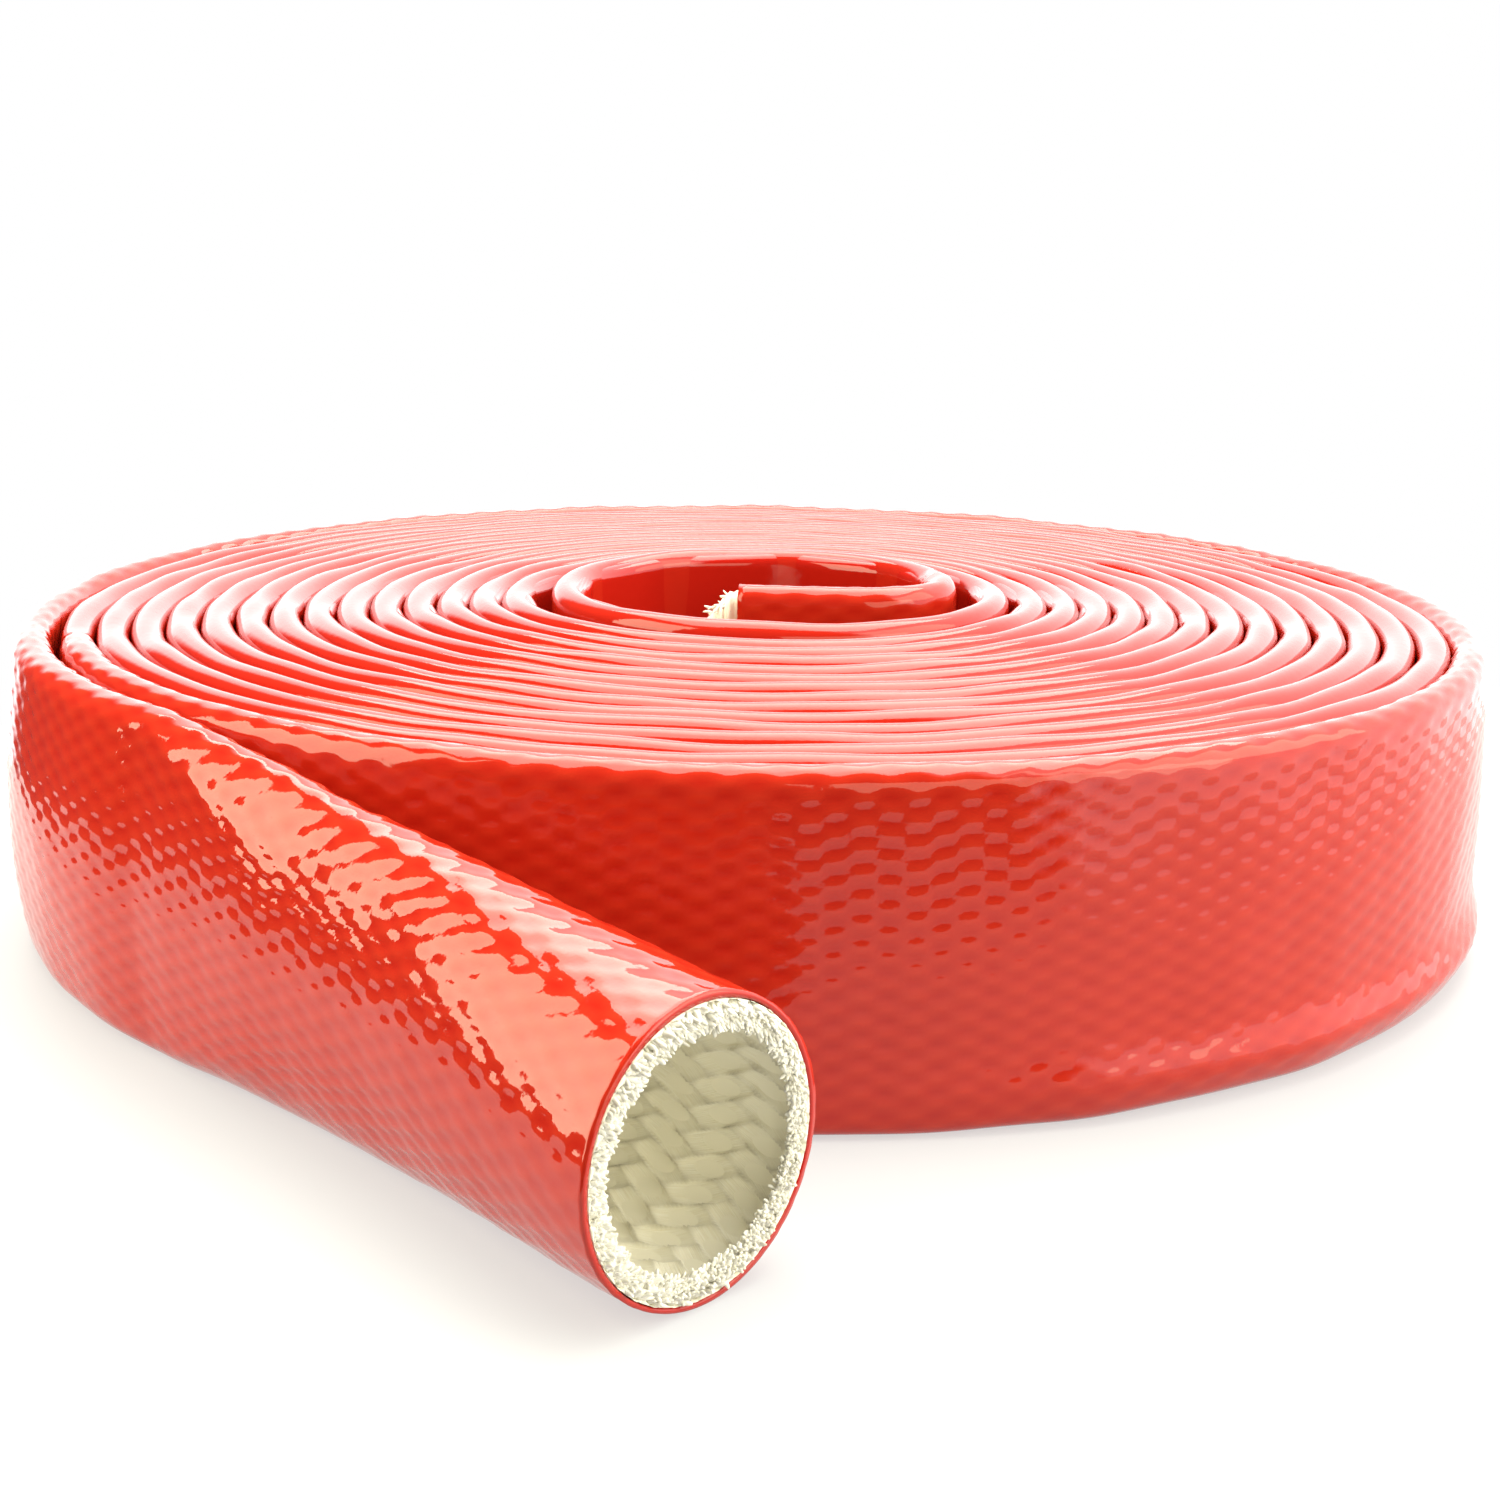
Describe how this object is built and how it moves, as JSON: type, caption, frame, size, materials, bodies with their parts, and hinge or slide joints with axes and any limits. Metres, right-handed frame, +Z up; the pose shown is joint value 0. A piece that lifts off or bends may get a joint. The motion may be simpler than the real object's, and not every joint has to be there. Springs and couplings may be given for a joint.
{
  "type": "rolled fire sleeve",
  "caption": "Silicone-coated braided glass-fibre fire sleeve, laid flat and wound into a roll on its edge, with its free end opened into a round tube.",
  "frame": {"origin": "middle of the underside of the whole object, on the floor it lies on", "axes": "+Z up along the roll's axis; +X the way the free end points, out of its round mouth; the free end lies along the -Y side of the roll"},
  "size_m": [0.3722, 0.412, 0.0846],
  "materials": {
    "silicone_cover": "glossy iron-oxide red silicone, with the braid beneath showing through as fine diagonal ridges",
    "glass_braid": "cream braided glass fibre, matt, frayed at the cut ends"
  },
  "bodies": {
    "root": {"cover_roll_1": "silicone_cover", "cover_roll_2": "silicone_cover", "cover_roll_3": "silicone_cover", "cover_roll_4": "silicone_cover", "braid_roll": "glass_braid", "cover_tail": "silicone_cover", "braid_throat": "glass_braid", "braid_mouth": "glass_braid"}
  },
  "joints": []
}
